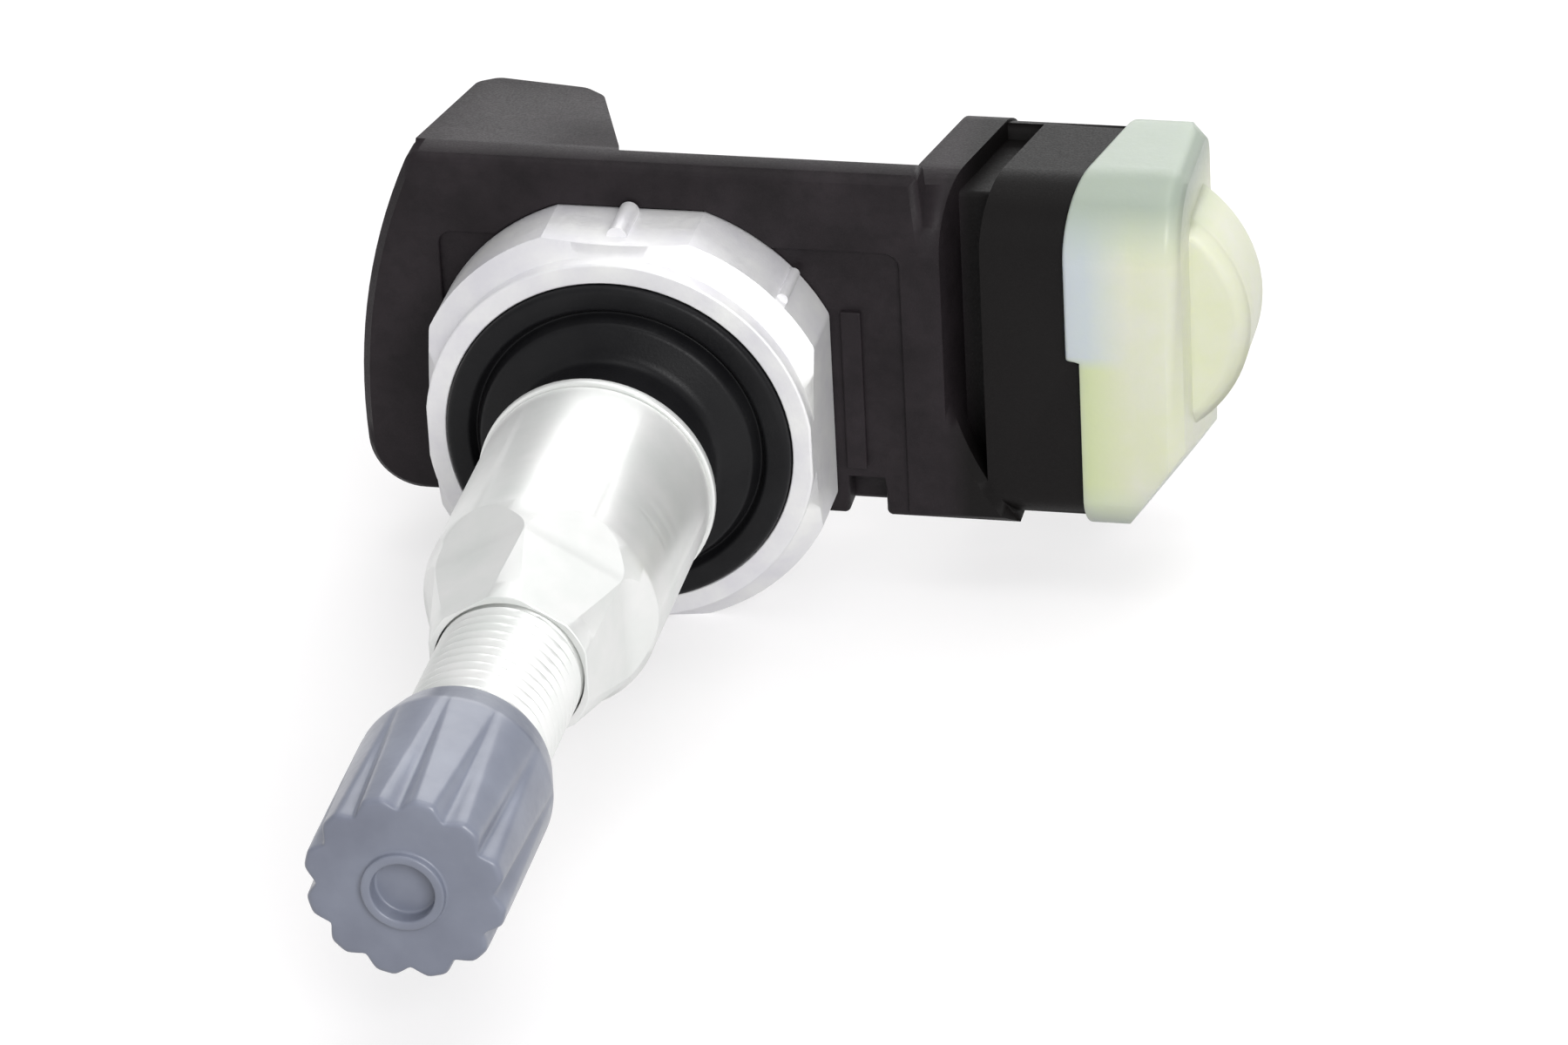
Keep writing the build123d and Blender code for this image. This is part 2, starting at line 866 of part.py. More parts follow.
nodes = [
    sensor_housing,
    end_cover,
    potting_resin,
    circuit_board,
    controller_chip,
    pressure_chip,
    crystal_can,
    chip_capacitors,
    lf_coil_core,
    lf_coil_winding,
    rf_antenna,
    battery_cell,
    battery_tab_positive,
    battery_tab_negative,
    stem_collar,
    valve_stem,
    retaining_screw,
    sealing_grommet,
    nut_washer,
    clamp_nut,
    core_barrel,
    core_ring,
    core_pin,
    pin_seal,
    core_spring,
    valve_cap,
    cap_seal,
]

os.makedirs("parts", exist_ok=True)
for node in nodes:
    export_step(node(), f"parts/{node.__name__}.step")
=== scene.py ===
import json
import math

import bmesh
import bpy
from mathutils import Matrix, Vector


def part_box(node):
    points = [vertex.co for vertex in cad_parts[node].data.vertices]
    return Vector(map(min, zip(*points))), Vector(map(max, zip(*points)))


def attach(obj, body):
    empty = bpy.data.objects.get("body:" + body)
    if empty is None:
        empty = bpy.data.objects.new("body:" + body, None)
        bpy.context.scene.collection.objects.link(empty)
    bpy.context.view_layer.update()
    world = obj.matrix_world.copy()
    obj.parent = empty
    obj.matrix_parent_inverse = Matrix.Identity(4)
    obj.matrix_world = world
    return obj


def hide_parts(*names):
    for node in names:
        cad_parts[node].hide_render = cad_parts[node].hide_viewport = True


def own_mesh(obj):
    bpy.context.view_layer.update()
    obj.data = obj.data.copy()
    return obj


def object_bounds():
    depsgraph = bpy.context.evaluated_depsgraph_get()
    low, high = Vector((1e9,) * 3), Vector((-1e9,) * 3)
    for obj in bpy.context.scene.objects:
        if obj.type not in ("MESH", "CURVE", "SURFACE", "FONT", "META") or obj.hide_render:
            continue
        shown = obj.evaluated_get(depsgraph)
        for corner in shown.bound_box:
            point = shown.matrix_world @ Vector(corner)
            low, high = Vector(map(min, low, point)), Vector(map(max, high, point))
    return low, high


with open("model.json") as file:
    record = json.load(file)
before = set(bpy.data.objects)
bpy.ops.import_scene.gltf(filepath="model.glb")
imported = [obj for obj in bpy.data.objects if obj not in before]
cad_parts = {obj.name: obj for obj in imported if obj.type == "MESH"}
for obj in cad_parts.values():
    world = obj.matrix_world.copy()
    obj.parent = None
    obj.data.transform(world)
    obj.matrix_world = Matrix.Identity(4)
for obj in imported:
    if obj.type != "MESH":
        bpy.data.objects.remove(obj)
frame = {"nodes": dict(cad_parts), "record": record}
cad_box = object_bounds()

# Everything is in metres, in the frame of the part: the valve points along -Y and +Z is up.
# "Ahead" is the distance from the rim seat along the valve, so it is -Y.
MM = 0.001
nodes = frame["nodes"]
record = frame["record"]
mounts = {mount["name"]: mount for mount in record["mounts"]}
slot_of = {part["node"]: part["material_slot"] for part in record["subparts"]}
body_of = {}
for body, members in record["behaviour"]["bodies"].items():
    for member in members:
        body_of[member] = body

# Points nearer than WELD become one, and so do faces within FLAT_ANGLE
WELD = 0.002 * MM
FLAT_ANGLE = math.radians(0.6)

# Outer edges sharper than EDGE_ANGLE are rounded, in chains of edges that carry each other on.
# A round takes up to 1 / ROOM of the space beside it; where that isn't enough, it gets narrower.
EDGE_ANGLE = math.radians(22)
CHAIN_COSINE = 0.7
ROOM = 2.2
ROUND_SHARES = (1.0, 0.6, 0.3)
BEVEL_STEPS = 4

# Edges sharper than these angles stay sharp in the shading
CRISP_ANGLE = math.radians(15)
SMOOTH_ANGLE = math.radians(32)
SOFT_ANGLE = math.radians(52)

# Turned meshes: an arc takes at most the share ARC_REACH of the lines that it joins
ARC_STEPS = 5
ARC_REACH = 0.45
PROFILE_STEP = 0.45 * MM
RING_COUNT = 144

# Valve thread: 32 turns to the inch, fading in behind and out at the tip
THREAD_R = mounts["valve_thread"]["dims"]["r_mm"] * MM
THREAD_PITCH = 25.4 / 32 * MM
THREAD_DEPTH = 0.36 * MM
THREAD_START = 21.0 * MM
THREAD_FADE = 1.2 * MM
TIP_MARGIN = 1.0 * MM
TIP_FADE = 0.4 * MM
FLANK_SLOPE = 2.6
ROOT_FLAT = 0.16
ROWS_PER_TURN = 8
STEM_TIP = -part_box("valve_stem")[0].y
ON_CYLINDER = 0.01 * MM
LONG_EDGE = 10 * MM

# Flutes of the cap: V cuts in its side, each with FLUTE_COLUMNS columns of faces
FLUTES = 12
FLUTE_COLUMNS = 16
CAP_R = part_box("valve_cap")[1].x
CAP_FACE = 45.8 * MM
FLUTE_DEPTH = 0.62 * MM
FLUTE_RUN = 10.0 * MM
FLUTE_HALF_ANGLE = math.radians(50)
FLUTE_SOFT = 0.12 * MM
FLUTE_INNER_R = 0.68 * CAP_R

# The bar and block have a mottled, worn skin up to the ridge; beyond it the box is painted near black
# as painted shade
BOX_SHADE_START = 16.6 * MM
BOX_SHADE_FADE = 1.2 * MM

# The cover's lip ends at a step in its edge
LIP_STEP = 3.3 * MM
LIP_FADE = 0.4 * MM

# Size of the patches of colour on plastic and on metal
PLASTIC_CLOUD = 4 * MM
METAL_CLOUD = 3 * MM

# Noise lies mostly between these values
NOISE_LOW = 0.3
NOISE_HIGH = 0.7

# The colour sockets of a mix node share their names with others, so they go by number
MIX_FIRST = 6
MIX_SECOND = 7
MIX_RESULT = 2

# Floor
FLOOR_HALF = 3.0
FLOOR_GLOW = 0.56

# Camera, fitted to the photograph
PHOTO_W = 1800
PHOTO_H = 1200
VIEW_AZIMUTH = math.radians(14.7)
VIEW_ELEVATION = math.radians(27.8)
VIEW_ROLL = math.radians(3.7)
VIEW_DISTANCE = 0.42
PIXELS_PER_METRE = 21600
ORIGIN_PIXEL = (708.3, 512.6)
SENSOR_W = 36.0
CLIP_START = 0.01


# Nodes of the materials

def shader_tree(name):
    """New material with its tree, its main shader and the coordinates of the part."""
    made = bpy.data.materials.new(name)
    made.use_nodes = True
    tree = made.node_tree
    shader = tree.nodes["Principled BSDF"]
    coords = tree.nodes.new("ShaderNodeTexCoord").outputs["Object"]
    return made, tree, shader, coords


def add_split(tree, vector):
    """The X, Y and Z of a vector, by name."""
    split = tree.nodes.new("ShaderNodeSeparateXYZ")
    tree.links.new(vector, split.inputs["Vector"])
    return split.outputs


def add_pair(tree, x, y):
    """A vector from two values."""
    pair = tree.nodes.new("ShaderNodeCombineXYZ")
    tree.links.new(x, pair.inputs["X"])
    tree.links.new(y, pair.inputs["Y"])
    return pair.outputs["Vector"]


def add_noise(tree, vector, size, detail=4.0, roughness=0.55):
    """Noise whose features are about a given size across."""
    noise = tree.nodes.new("ShaderNodeTexNoise")
    noise.inputs["Scale"].default_value = 1 / size
    noise.inputs["Detail"].default_value = detail
    noise.inputs["Roughness"].default_value = roughness
    tree.links.new(vector, noise.inputs["Vector"])
    return noise.outputs["Fac"]


def add_turning(tree, coords, size):
    """Fine rings as a lathe leaves them: noise that changes along and away from the valve axis."""
    place = add_split(tree, coords)
    radius = tree.nodes.new("ShaderNodeVectorMath")
    radius.operation = "LENGTH"
    tree.links.new(add_pair(tree, place["X"], place["Z"]), radius.inputs[0])
    ring = add_pair(tree, place["Y"], radius.outputs["Value"])
    return add_noise(tree, ring, size, detail=2.0)


def add_range(tree, value, low, high, start=NOISE_LOW, stop=NOISE_HIGH):
    """A value between start and stop, spread from low to high."""
    spread = tree.nodes.new("ShaderNodeMapRange")
    spread.inputs["From Min"].default_value = start
    spread.inputs["From Max"].default_value = stop
    spread.inputs["To Min"].default_value = low
    spread.inputs["To Max"].default_value = high
    tree.links.new(value, spread.inputs["Value"])
    return spread.outputs["Result"]


def add_mix(tree, share, first, second):
    """Mix of two colours; each is a colour or another node's output."""
    mix = tree.nodes.new("ShaderNodeMix")
    mix.data_type = "RGBA"
    tree.links.new(share, mix.inputs["Factor"])
    for socket, colour in ((mix.inputs[MIX_FIRST], first), (mix.inputs[MIX_SECOND], second)):
        if isinstance(colour, tuple):
            socket.default_value = (*colour, 1)
        else:
            tree.links.new(colour, socket)
    return mix.outputs[MIX_RESULT]


def add_bump(tree, shader, layers):
    """Bump from layers of (height value, depth in metres), chained."""
    normal = None
    for height, depth in layers:
        bump = tree.nodes.new("ShaderNodeBump")
        bump.inputs["Distance"].default_value = depth
        tree.links.new(height, bump.inputs["Height"])
        if normal is not None:
            tree.links.new(normal, bump.inputs["Normal"])
        normal = bump.outputs["Normal"]
    tree.links.new(normal, shader.inputs["Normal"])


def add_surface(tree, shader, cloud, skin, dark, light, roughness, depth):
    """Cloudy colour, uneven gloss and a fine skin."""
    share = add_range(tree, cloud, 0, 1)
    tree.links.new(add_mix(tree, share, dark, light), shader.inputs["Base Color"])
    tree.links.new(add_range(tree, skin, *roughness), shader.inputs["Roughness"])
    add_bump(tree, shader, [(skin, depth)])


# Materials

def moulded(name, dark, light, roughness, grain, depth, gleam=0.5):
    """Moulded plastic, rubber or resin; the grain of its skin has a size and a depth."""
    made, tree, shader, coords = shader_tree(name)
    shader.inputs["Specular IOR Level"].default_value = gleam
    cloud = add_noise(tree, coords, size=PLASTIC_CLOUD)
    skin = add_noise(tree, coords, size=grain, detail=2.0)
    add_surface(tree, shader, cloud, skin, dark, light, roughness, depth)
    return made


def metal(name, dark, light, roughness, grain, depth, turned=False, metallic=1.0):
    """Metal with a fine grain, or turned with fine rings; a satin plating is less metallic."""
    made, tree, shader, coords = shader_tree(name)
    shader.inputs["Metallic"].default_value = metallic
    cloud = add_noise(tree, coords, size=METAL_CLOUD)
    if turned:
        skin = add_turning(tree, coords, grain)
    else:
        skin = add_noise(tree, coords, size=grain, detail=3.0)
    add_surface(tree, shader, cloud, skin, dark, light, roughness, depth)
    return made


def housing_plastic():
    """Black plastic with a worn, faintly purple skin on the bar and block, and a box painted near black
    as painted shade.
    """
    worn_dark = (0.012, 0.0095, 0.011)
    worn_light = (0.026, 0.021, 0.024)
    rubbed = (0.006, 0.005, 0.006)
    box_painted_shade = (0.004, 0.0033, 0.0033)
    made, tree, shader, coords = shader_tree("housing_plastic")
    cloud = add_noise(tree, coords, size=5 * MM)
    wear = add_noise(tree, coords, size=0.9 * MM)
    skin = add_noise(tree, coords, size=0.12 * MM, detail=2.0)
    tint = add_mix(tree, add_range(tree, cloud, 0, 1), worn_dark, worn_light)
    tint = add_mix(tree, add_range(tree, wear, 0, 0.35, start=0.45, stop=0.75), tint, rubbed)
    # Painted shade: beyond the ridge the base colour fades to near black
    along = add_split(tree, coords)["X"]
    box_shade_share = add_range(tree, along, 0, 1, start=BOX_SHADE_START, stop=BOX_SHADE_START + BOX_SHADE_FADE)
    tree.links.new(add_mix(tree, box_shade_share, tint, box_painted_shade), shader.inputs["Base Color"])
    tree.links.new(add_range(tree, skin, low=0.44, high=0.58), shader.inputs["Roughness"])
    shader.inputs["Specular IOR Level"].default_value = 0.16
    add_bump(tree, shader, [(wear, 0.015 * MM), (skin, 0.008 * MM)])
    return made


def cover_plastic():
    """Milky clear plastic, yellow-green where resin lies behind it, bluish at its lip, with painted
    shade darkening its top.
    """
    lip_blue = (0.76, 0.83, 0.85)
    edge_green = (0.82, 0.92, 0.54)
    green = (0.93, 0.98, 0.70)
    pale_green = (0.97, 0.99, 0.80)
    top_painted_shade = (0.46, 0.53, 0.45)
    foot_grey = (0.74, 0.80, 0.70)
    made, tree, shader, coords = shader_tree("cover_plastic")
    low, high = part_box("end_cover")
    place = add_split(tree, coords)
    inside = add_range(tree, place["X"], 0, 1, start=low.x + 1.2 * MM, stop=low.x + 3.6 * MM)
    under_lip = add_range(tree, place["Z"], 1, 0, start=LIP_STEP - LIP_FADE, stop=LIP_STEP + LIP_FADE)
    # Painted shade: the top of the cover is tinted a darker grey than its front
    top_shade_share = add_range(tree, place["Z"], 0, 1, start=high.z - 4.0 * MM, stop=high.z - 1.0 * MM)
    at_foot = add_range(tree, place["Z"], 1, 0, start=low.z + 0.6 * MM, stop=low.z + 3.2 * MM)
    cloud = add_noise(tree, coords, size=2.5 * MM)
    skin = add_noise(tree, coords, size=0.25 * MM, detail=2.0)
    edge = add_mix(tree, under_lip, lip_blue, edge_green)
    resin = add_mix(tree, add_range(tree, cloud, 0, 1), green, pale_green)
    tint = add_mix(tree, inside, edge, resin)
    tint = add_mix(tree, top_shade_share, tint, top_painted_shade)
    tint = add_mix(tree, at_foot, tint, foot_grey)
    tree.links.new(tint, shader.inputs["Base Color"])
    tree.links.new(add_range(tree, skin, low=0.3, high=0.42), shader.inputs["Roughness"])
    shader.inputs["Transmission Weight"].default_value = 0.2
    shader.inputs["IOR"].default_value = 1.46
    shader.inputs["Subsurface Weight"].default_value = 0.5
    shader.inputs["Subsurface Radius"].default_value = (1.0, 1.0, 0.7)
    shader.inputs["Subsurface Scale"].default_value = 1.2 * MM
    add_bump(tree, shader, [(cloud, 0.05 * MM), (skin, 0.006 * MM)])
    return made


def cap_plastic():
    """Blue-grey moulded plastic with a thin gloss."""
    made = moulded(
        "cap_plastic", dark=(0.18, 0.195, 0.25), light=(0.235, 0.255, 0.32),
        roughness=(0.30, 0.38), grain=0.4 * MM, depth=0.002 * MM,
    )
    shader = made.node_tree.nodes["Principled BSDF"]
    shader.inputs["Coat Weight"].default_value = 0.2
    shader.inputs["Coat Roughness"].default_value = 0.2
    return made


plastics = {
    "resin": dict(
        dark=(0.60, 0.74, 0.30), light=(0.80, 0.88, 0.50),
        roughness=(0.3, 0.4), grain=0.8 * MM, depth=0.02 * MM,
    ),
    "board": dict(
        dark=(0.02, 0.13, 0.05), light=(0.03, 0.18, 0.07),
        roughness=(0.3, 0.45), grain=0.3 * MM, depth=0.01 * MM,
    ),
    "chip_black": dict(
        dark=(0.012, 0.012, 0.013), light=(0.02, 0.02, 0.02),
        roughness=(0.5, 0.6), grain=0.05 * MM, depth=0.004 * MM,
    ),
    "ceramic": dict(
        dark=(0.36, 0.24, 0.14), light=(0.44, 0.31, 0.2),
        roughness=(0.4, 0.5), grain=0.08 * MM, depth=0.004 * MM,
    ),
    "ferrite": dict(
        dark=(0.05, 0.05, 0.055), light=(0.09, 0.09, 0.1),
        roughness=(0.5, 0.65), grain=0.06 * MM, depth=0.006 * MM,
    ),
    "rubber": dict(
        dark=(0.006, 0.006, 0.007), light=(0.012, 0.012, 0.013),
        roughness=(0.32, 0.46), grain=0.15 * MM, depth=0.008 * MM, gleam=0.15,
    ),
    "seal_red": dict(
        dark=(0.32, 0.03, 0.02), light=(0.42, 0.05, 0.04),
        roughness=(0.45, 0.55), grain=0.15 * MM, depth=0.006 * MM,
    ),
}
metals = {
    "tinned_steel": dict(
        dark=(0.62, 0.62, 0.6), light=(0.72, 0.72, 0.7),
        roughness=(0.3, 0.42), grain=0.15 * MM, depth=0.004 * MM,
    ),
    "copper_wire": dict(
        dark=(0.55, 0.2, 0.08), light=(0.7, 0.3, 0.14),
        roughness=(0.3, 0.4), grain=0.12 * MM, depth=0.02 * MM,
    ),
    "cell_steel": dict(
        dark=(0.66, 0.66, 0.64), light=(0.74, 0.74, 0.72),
        roughness=(0.29, 0.38), grain=0.2 * MM, depth=0.003 * MM,
    ),
    "cast_metal": dict(
        dark=(0.80, 0.79, 0.83), light=(0.93, 0.93, 0.92),
        roughness=(0.42, 0.58), grain=0.22 * MM, depth=0.01 * MM, metallic=0.35,
    ),
    "turned_metal": dict(
        dark=(0.80, 0.82, 0.80), light=(0.88, 0.88, 0.87),
        roughness=(0.3, 0.42), grain=0.07 * MM, depth=0.002 * MM, turned=True, metallic=0.5,
    ),
    "screw_steel": dict(
        dark=(0.5, 0.5, 0.5), light=(0.6, 0.6, 0.6),
        roughness=(0.3, 0.42), grain=0.1 * MM, depth=0.005 * MM,
    ),
    "spring_steel": dict(
        dark=(0.5, 0.5, 0.5), light=(0.58, 0.58, 0.58),
        roughness=(0.29, 0.36), grain=0.1 * MM, depth=0.003 * MM,
    ),
    "core_brass": dict(
        dark=(0.62, 0.44, 0.16), light=(0.74, 0.55, 0.24),
        roughness=(0.29, 0.38), grain=0.08 * MM, depth=0.004 * MM, turned=True,
    ),
}
slots = {
    "housing_plastic": housing_plastic(),
    "cover_plastic": cover_plastic(),
    "cap_plastic": cap_plastic(),
}
for name, look in plastics.items():
    slots[name] = moulded(name, **look)
for name, look in metals.items():
    slots[name] = metal(name, **look)


def dress(piece, slot):
    """Give a piece one material."""
    piece.data.materials.clear()
    piece.data.materials.append(slots[slot])


for name, node in nodes.items():
    dress(node, slot_of[name])


# Meshes of the solids, joined and with rounded edges

def welded(name):
    """Copy of a solid's mesh with its faces joined and its flat faces whole."""
    mesh = bmesh.new()
    mesh.from_mesh(nodes[name].data)
    bmesh.ops.remove_doubles(mesh, verts=mesh.verts, dist=WELD)
    bmesh.ops.dissolve_degenerate(mesh, edges=mesh.edges, dist=WELD)
    bmesh.ops.dissolve_limit(mesh, angle_limit=FLAT_ANGLE, verts=mesh.verts, edges=mesh.edges)
    return mesh


def face_depth(loop):
    """How far a face reaches inward from the middle of one of its edges."""
    first = loop.vert.co
    last = loop.link_loop_next.vert.co
    middle = (first + last) / 2
    along = (last - first).normalized()
    inward = loop.face.normal.cross(along)
    nearest = math.inf
    for other in loop.face.loops:
        if other is loop:
            continue
        here = other.vert.co - middle
        there = other.link_loop_next.vert.co - middle
        start, stop = here.dot(along), there.dot(along)
        if (start < 0) != (stop < 0):
            depth = here.lerp(there, start / (start - stop)).dot(inward)
            if depth > WELD:
                nearest = min(nearest, depth)
    return nearest


def followers(edge, sharp):
    """Sharp edges that carry an edge on, the other edges at its ends, and whether an end is open."""
    along = (edge.verts[1].co - edge.verts[0].co).normalized()
    chain, rest, open_end = [], [], False
    for vertex in edge.verts:
        goes_on = False
        for other in vertex.link_edges:
            if other is edge:
                continue
            away = (other.verts[1].co - other.verts[0].co).normalized()
            if other in sharp and abs(along.dot(away)) > CHAIN_COSINE:
                chain.append(other)
                goes_on = True
            else:
                rest.append(other)
        open_end = open_end or not goes_on
    return chain, rest, open_end


def edge_room(edge, sharp):
    """The widest round that the faces beside an edge and the edges at its ends leave room for."""
    _, rest, open_end = followers(edge, sharp)
    limits = [face_depth(loop) for loop in edge.link_loops]
    limits += [other.calc_length() for other in rest]
    if open_end:
        limits.append(edge.calc_length())
    return min(limits) / ROOM


def chains_of(sharp):
    """Sharp edges in the chains that they form."""
    left = set(sharp)
    for edge in sharp:
        if edge not in left:
            continue
        left.discard(edge)
        group = [edge]
        for member in group:
            for other in followers(member, left)[0]:
                left.discard(other)
                group.append(other)
        yield group


def round_edges(mesh, width):
    """Round the sharp outer edges of a mesh, each chain as widely as its narrowest place allows."""
    sharp = [
        edge for edge in mesh.edges
        if edge.is_manifold and edge.calc_face_angle_signed(0) > EDGE_ANGLE
    ]
    for share in ROUND_SHARES:
        sharp = [edge for edge in sharp if edge.is_valid]
        known = set(sharp)
        ready = []
        for group in chains_of(sharp):
            if min(edge_room(edge, known) for edge in group) > width * share:
                ready += group
        bmesh.ops.bevel(
            mesh,
            geom=ready,
            offset=width * share,
            segments=BEVEL_STEPS,
            profile=0.5,
            affect="EDGES",
            clamp_overlap=False,
        )


def thread_depth(point):
    """How deep the thread cuts at a point of the stem's outside."""
    ahead = -point.y
    turn = math.atan2(point.x, point.z) / (2 * math.pi)
    phase = (ahead / THREAD_PITCH - turn) % 1
    flank = min(max(abs(phase - 0.5) * FLANK_SLOPE - ROOT_FLAT, 0), 1)
    fade_in = (ahead - THREAD_START) / THREAD_FADE
    fade_out = (STEM_TIP - TIP_MARGIN - ahead) / TIP_FADE
    return THREAD_DEPTH * (1 - flank) * max(min(fade_in, fade_out, 1), 0)


def cut_thread(mesh):
    """Cut the valve thread into the stem's long cylinder."""
    def on_cylinder(vertex):
        return abs(math.hypot(vertex.co.x, vertex.co.z) - THREAD_R) < ON_CYLINDER

    long_edges = [
        edge for edge in mesh.edges
        if all(on_cylinder(vertex) for vertex in edge.verts) and edge.calc_length() > LONG_EDGE
    ]
    length = max(edge.calc_length() for edge in long_edges)
    cuts = round(length / THREAD_PITCH * ROWS_PER_TURN)
    made = bmesh.ops.subdivide_edges(mesh, edges=long_edges, cuts=cuts, use_grid_fill=True)
    for vertex in (item for item in made["geom_inner"] if isinstance(item, bmesh.types.BMVert)):
        radius = math.hypot(vertex.co.x, vertex.co.z)
        shrink = (radius - thread_depth(vertex.co)) / radius
        vertex.co.x *= shrink
        vertex.co.z *= shrink


# Turned meshes; their profiles are in millimetres

def rounded(*corners):
    """Profile points from (radius, distance ahead, round of the corner), with arcs at the corners."""
    points = []
    count = len(corners)
    for i, (radius, ahead, bend) in enumerate(corners):
        corner = Vector((radius, ahead)) * MM
        if bend == 0:
            points.append(corner)
            continue
        before = Vector(corners[i - 1][:2]) * MM - corner
        after = Vector(corners[(i + 1) % count][:2]) * MM - corner
        half = before.angle(after) / 2
        reach = min(bend * MM / math.tan(half), ARC_REACH * before.length, ARC_REACH * after.length)
        first = corner + before.normalized() * reach
        last = corner + after.normalized() * reach
        for k in range(ARC_STEPS + 1):
            f = k / ARC_STEPS
            points.append(first * (1 - f) ** 2 + corner * 2 * f * (1 - f) + last * f ** 2)
    return points


def divided(points, step):
    """A profile with its long lines cut into short ones."""
    fine = []
    for here, there in zip(points, points[1:] + points[:1]):
        count = max(1, math.ceil((there - here).length / step))
        fine += [here.lerp(there, k / count) for k in range(count)]
    return fine


def lathe(points, count, inset=None):
    """Mesh turned from a closed profile; inset(angle, radius, ahead) says how far it is cut in."""
    mesh = bmesh.new()
    rings = []
    for radius, ahead in points:
        ring = []
        for k in range(count if radius > WELD else 1):
            angle = 2 * math.pi * k / count
            r = radius - inset(angle, radius, ahead) if inset else radius
            ring.append(mesh.verts.new((r * math.cos(angle), -ahead, r * math.sin(angle))))
        rings.append(ring)
    for here, there in zip(rings, rings[1:] + rings[:1]):
        for k in range(count):
            corners = [
                here[k % len(here)],
                here[(k + 1) % len(here)],
                there[(k + 1) % len(there)],
                there[k % len(there)],
            ]
            corners = list(dict.fromkeys(corners))
            if len(corners) > 2:
                mesh.faces.new(corners)
    bmesh.ops.recalc_face_normals(mesh, faces=mesh.faces)
    return mesh


def grommet():
    """Rubber grommet with soft edges and a groove between its ring and its cone."""
    bore, neck_r, ring_r = 4.3, 5.6, 9.4
    back, seat, front = -3.0, 0, 4.4
    groove_edge_r, groove_r, groove = 8.1, 7.75, -0.6
    cone_r, cone_start, cone_end = 7.4, 0.35, 1.0
    return lathe(rounded(
        (bore, back, 0),
        (ring_r, back, 0.2),
        (ring_r, seat, 0.4),
        (groove_edge_r, seat, 0.25),
        (groove_r, groove, 0.12),
        (cone_r, cone_start, 0.4),
        (neck_r, cone_end, 0.8),
        (neck_r, front, 0.3),
        (bore, front, 0),
    ), RING_COUNT)


def flute_inset(angle, radius, ahead):
    """How far the cap's V flutes cut in, deepest at its tip and running out towards its mouth."""
    pitch = 2 * math.pi / FLUTES
    aside = abs((angle + pitch / 2) % pitch - pitch / 2) * CAP_R
    depth = FLUTE_DEPTH * (1 - (CAP_FACE - ahead) / FLUTE_RUN)
    valley = math.hypot(aside, FLUTE_SOFT) - FLUTE_SOFT
    cut = depth - valley / math.tan(FLUTE_HALF_ANGLE)
    cut = (cut + math.hypot(cut, FLUTE_SOFT)) / 2 - FLUTE_SOFT / 4
    reach = min(max((radius - FLUTE_INNER_R) / (CAP_R - FLUTE_INNER_R), 0), 1)
    return max(cut, 0) * reach * reach


def cap():
    """Fluted cap with a soft tip, a raised ring and a hollow for the thread."""
    side, mouth_r, bore = CAP_R / MM, 4.45, 3.93
    dimple_r, ring_r = 1.6, 2.1
    dimple, tip, face = 45.3, 46.2, CAP_FACE / MM
    shoulder, mouth, hollow = 35.8, 33.6, 44.05
    ring_round = 0.15
    outline = rounded(
        (0, dimple, 0),
        (dimple_r, dimple, ring_round),
        (dimple_r, tip, ring_round),
        (ring_r, tip, ring_round),
        (ring_r, face, ring_round),
        (side, face, 0.35),
        (side, shoulder, 2.0),
        (mouth_r, mouth, 0.35),
        (bore, mouth, 0.1),
        (bore, hollow, 0),
        (0, hollow, 0),
    )
    return lathe(divided(outline, PROFILE_STEP), FLUTE_COLUMNS * FLUTES, flute_inset)


# Pieces that stand for nodes

def placed(mesh, name, smooth_angle):
    """Turn a worked mesh into the piece that stands for a node."""
    data = bpy.data.meshes.new(name + "_finished")
    mesh.to_mesh(data)
    mesh.free()
    data.shade_smooth()
    data.set_sharp_from_angle(angle=smooth_angle)
    piece = bpy.data.objects.new(name + "_finished", data)
    bpy.context.scene.collection.objects.link(piece)
    even = piece.modifiers.new("even_normals", "WEIGHTED_NORMAL")
    even.keep_sharp = True
    dress(piece, slot_of[name])
    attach(piece, body_of[name])
    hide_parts(name)
    return piece


# Width of the rounded edges and shading angle
finishes = {
    "sensor_housing": (0.3 * MM, SMOOTH_ANGLE),
    "end_cover": (0.4 * MM, SMOOTH_ANGLE),
    "stem_collar": (0.16 * MM, CRISP_ANGLE),
    "nut_washer": (0.1 * MM, SMOOTH_ANGLE),
    "clamp_nut": (0.12 * MM, CRISP_ANGLE),
    "valve_stem": (0.08 * MM, SMOOTH_ANGLE),
    "retaining_screw": (0.12 * MM, SMOOTH_ANGLE),
}
for name, (width, smooth_angle) in finishes.items():
    mesh = welded(name)
    round_edges(mesh, width)
    if name == "valve_stem":
        cut_thread(mesh)
    placed(mesh, name, smooth_angle)
placed(grommet(), "sealing_grommet", SOFT_ANGLE)
placed(cap(), "valve_cap", SOFT_ANGLE)

# The core's spring, which shortens as the pin is pressed, gets a mesh of its own
spring = placed(welded("core_spring"), "core_spring", SMOOTH_ANGLE)
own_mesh(spring)


# Floor, light and camera

def add_seen(tree):
    """1 for rays that show the background: to the camera, in reflections, through clear pieces."""
    rays = tree.nodes.new("ShaderNodeLightPath")
    seen = rays.outputs["Is Camera Ray"]
    for kind in ("Is Glossy Ray", "Is Transmission Ray"):
        either = tree.nodes.new("ShaderNodeMath")
        either.operation = "MAXIMUM"
        tree.links.new(seen, either.inputs[0])
        tree.links.new(rays.outputs[kind], either.inputs[1])
        seen = either.outputs["Value"]
    return seen


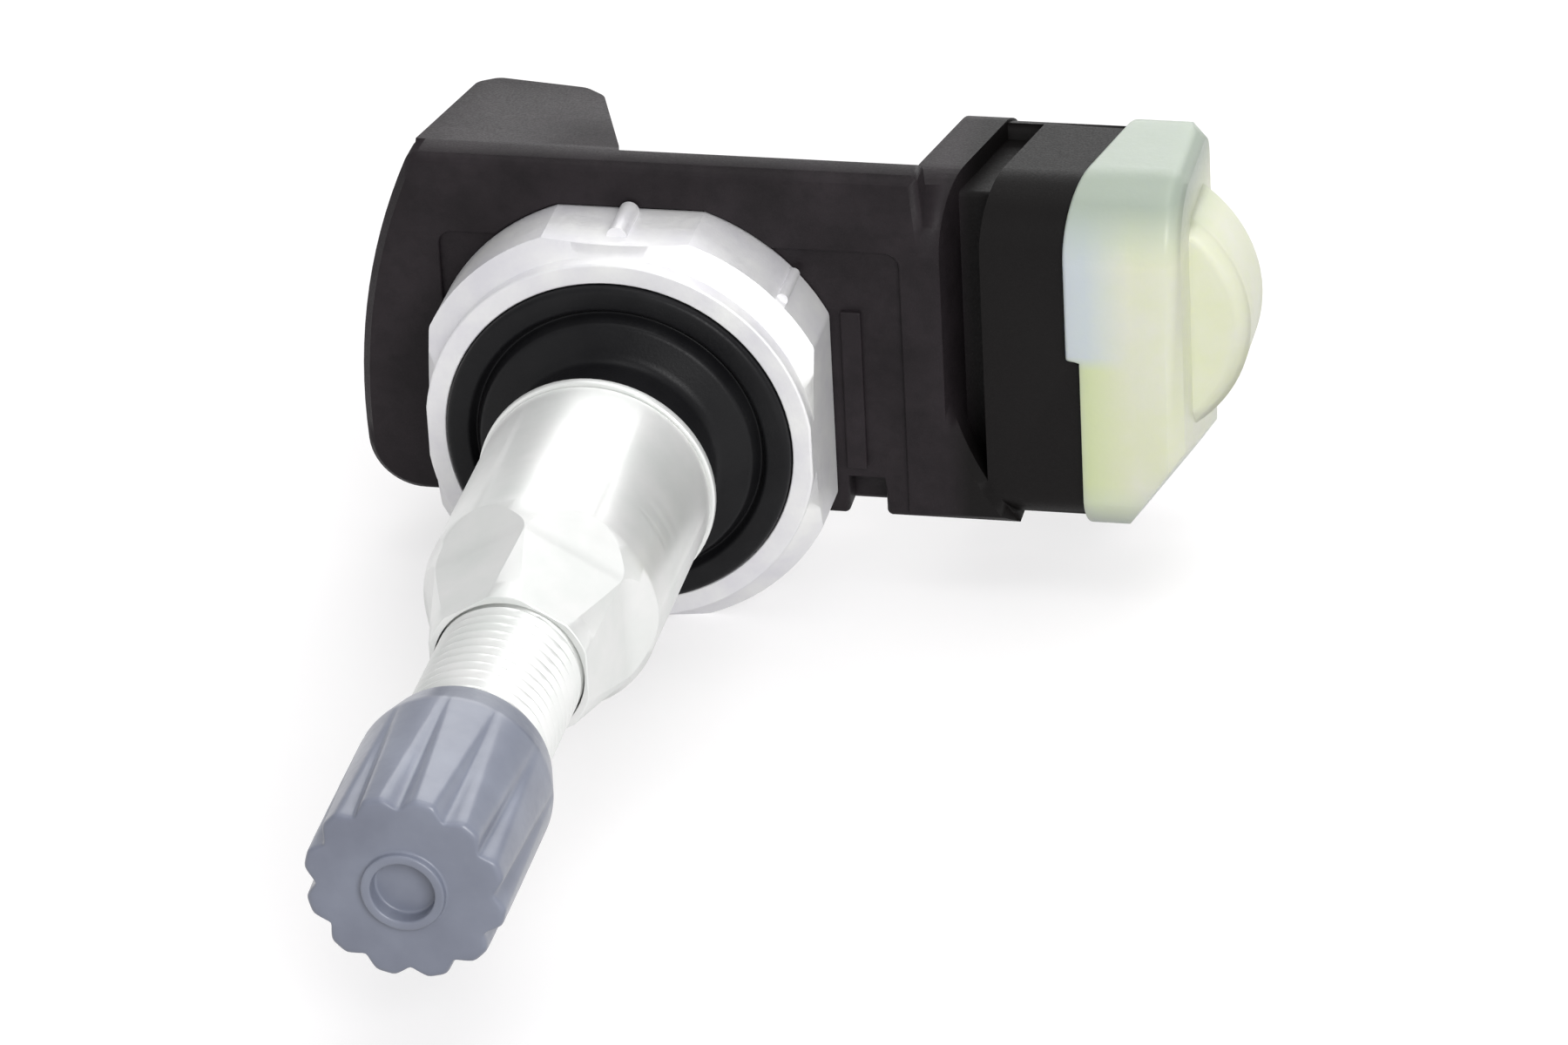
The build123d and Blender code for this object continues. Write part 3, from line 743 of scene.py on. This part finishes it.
def floor():
    """Floor at the part's lowest point, white where it is seen and dim for the light it throws back."""
    dim = (0.30, 0.30, 0.30)
    dark, light = (0.48, 0.47, 0.475), (0.50, 0.49, 0.495)
    low = cad_box[0][2]
    corners = [(x * FLOOR_HALF, y * FLOOR_HALF, low) for x, y in ((-1, -1), (1, -1), (1, 1), (-1, 1))]
    data = bpy.data.meshes.new("floor")
    data.from_pydata(corners, [], [(0, 1, 2, 3)])
    plane = bpy.data.objects.new("floor", data)
    bpy.context.scene.collection.objects.link(plane)
    made, tree, shader, coords = shader_tree("floor")
    shader.inputs["Roughness"].default_value = 0.8
    shader.inputs["Specular IOR Level"].default_value = 0.1
    cloud = add_noise(tree, coords, size=60 * MM)
    tint = add_mix(tree, add_range(tree, cloud, 0, 1), dark, light)
    seen = add_seen(tree)
    tree.links.new(add_mix(tree, seen, dim, tint), shader.inputs["Base Color"])
    shader.inputs["Emission Color"].default_value = (1, 1, 1, 1)
    glow = add_range(tree, seen, 0, FLOOR_GLOW, start=0, stop=1)
    tree.links.new(glow, shader.inputs["Emission Strength"])
    data.materials.append(made)


def sky():
    """Even studio light, brighter from above, with a white backdrop along the horizon."""
    below, above, white = (0.30, 0.30, 0.31), (0.60, 0.60, 0.60), (1.0, 1.0, 1.0)
    world = bpy.data.worlds.new("studio")
    bpy.context.scene.world = world
    world.use_nodes = True
    tree = world.node_tree
    coords = tree.nodes.new("ShaderNodeTexCoord").outputs["Generated"]
    height = add_split(tree, coords)["Z"]
    light = add_mix(tree, add_range(tree, height, 0, 1, start=-0.2, stop=0.9), below, above)
    backdrop = add_mix(tree, add_range(tree, height, 0, 1, start=0.05, stop=0.3), white, light)
    shown = add_mix(tree, add_seen(tree), light, backdrop)
    tree.links.new(shown, tree.nodes["Background"].inputs["Color"])


def lamp(name, place, size, power):
    """Soft square lamp aimed at the part."""
    data = bpy.data.lights.new(name, "AREA")
    data.size = size
    data.energy = power
    light = bpy.data.objects.new(name, data)
    light.location = place
    light.rotation_euler = (-Vector(place)).to_track_quat("-Z", "Y").to_euler()
    bpy.context.scene.collection.objects.link(light)


def camera():
    """Camera at the photograph's angle, turned a little about its line of sight."""
    azimuth, elevation, roll = VIEW_AZIMUTH, VIEW_ELEVATION, VIEW_ROLL
    towards = Vector((
        math.sin(azimuth) * math.cos(elevation),
        -math.cos(azimuth) * math.cos(elevation),
        math.sin(elevation),
    ))
    level = Vector((math.cos(azimuth), math.sin(azimuth), 0))
    upright = towards.cross(level)
    right = math.cos(roll) * level - math.sin(roll) * upright
    up = math.sin(roll) * level + math.cos(roll) * upright
    shift_x = (PHOTO_W / 2 - ORIGIN_PIXEL[0]) / PIXELS_PER_METRE
    shift_y = (PHOTO_H / 2 - ORIGIN_PIXEL[1]) / PIXELS_PER_METRE
    aim = right * shift_x - up * shift_y
    place = towards * VIEW_DISTANCE
    back = (place - aim).normalized()
    right = (right - back * right.dot(back)).normalized()
    up = back.cross(right)
    turn = Matrix((right, up, back)).transposed().to_4x4()
    data = bpy.data.cameras.new("camera")
    data.sensor_width = SENSOR_W
    data.lens = SENSOR_W * PIXELS_PER_METRE * VIEW_DISTANCE / PHOTO_W
    data.clip_start = CLIP_START
    made = bpy.data.objects.new("camera", data)
    made.matrix_world = Matrix.Translation(place) @ turn
    bpy.context.scene.collection.objects.link(made)
    bpy.context.scene.camera = made


floor()
sky()
lamp("key", place=(0.06, 0.02, 0.42), size=0.30, power=0.45)
lamp("front", place=(0.22, -0.37, 0.22), size=0.24, power=1.4)
lamp("back", place=(0.02, 0.42, 0.24), size=0.36, power=1.0)
camera()
bpy.context.scene.view_settings.view_transform = "Standard"
